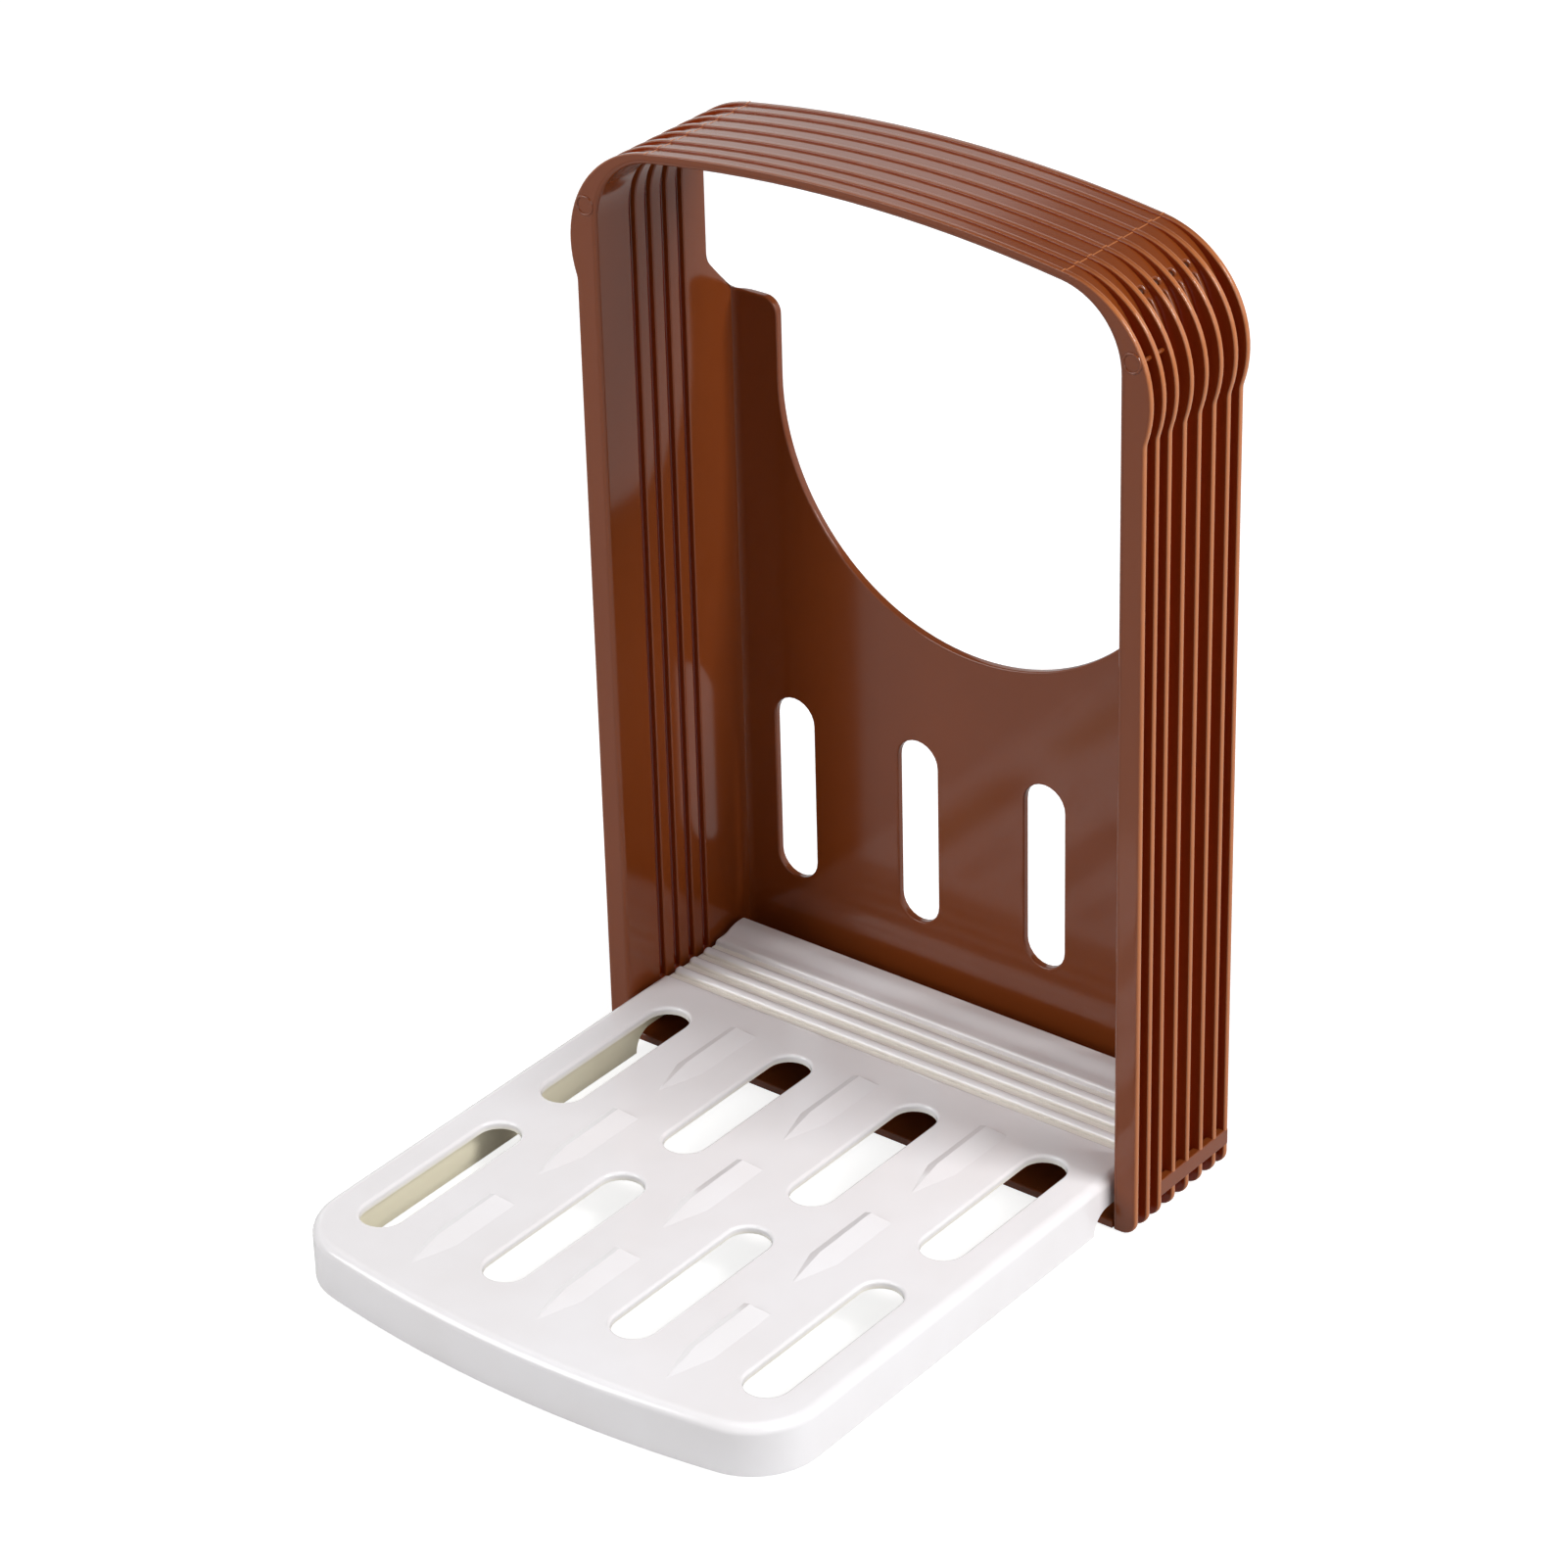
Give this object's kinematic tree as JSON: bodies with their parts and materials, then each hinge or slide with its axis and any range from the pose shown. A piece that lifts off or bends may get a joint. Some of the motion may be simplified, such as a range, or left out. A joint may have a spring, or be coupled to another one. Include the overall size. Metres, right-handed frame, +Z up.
{
  "type": "bread slicer guide",
  "caption": "Arched plastic guide for slicing a loaf: thin fins with knife slits between them, a back plate with a round cut-out, and a slotted tray that folds up.",
  "frame": {"origin": "middle of the footprint, on the table, with the tray folded down", "axes": "+Z up, +Y from the tray's front end to the back plate, +X to the right for someone who faces the back plate"},
  "size_m": [0.1584, 0.1802, 0.2389],
  "materials": {
    "brown_plastic": "glossy",
    "white_plastic": "satin gloss"
  },
  "bodies": {
    "frame": {"left_foot_rail": "brown_plastic", "left_front_post": "brown_plastic", "left_guide_post_1": "brown_plastic", "left_guide_post_2": "brown_plastic", "left_guide_post_3": "brown_plastic", "left_rear_post": "brown_plastic", "left_shoulder": "brown_plastic", "right_foot_rail": "brown_plastic", "right_front_post": "brown_plastic", "right_guide_post_1": "brown_plastic", "right_guide_post_2": "brown_plastic", "right_guide_post_3": "brown_plastic", "right_rear_post": "brown_plastic", "right_shoulder": "brown_plastic", "crown": "brown_plastic", "back_plate": "brown_plastic", "floor_plate": "brown_plastic"},
    "tray": {"tray_deck": "white_plastic", "tray_skirt": "white_plastic", "left_pivot_pin": "white_plastic", "right_pivot_pin": "white_plastic"}
  },
  "joints": [
    {"name": "tray_fold", "type": "hinge", "parent": "frame", "child": "tray", "pos_m": [0, 0.07893, 0.007], "axis": [-1, 0, 0], "range_deg": [0, 90]}
  ]
}
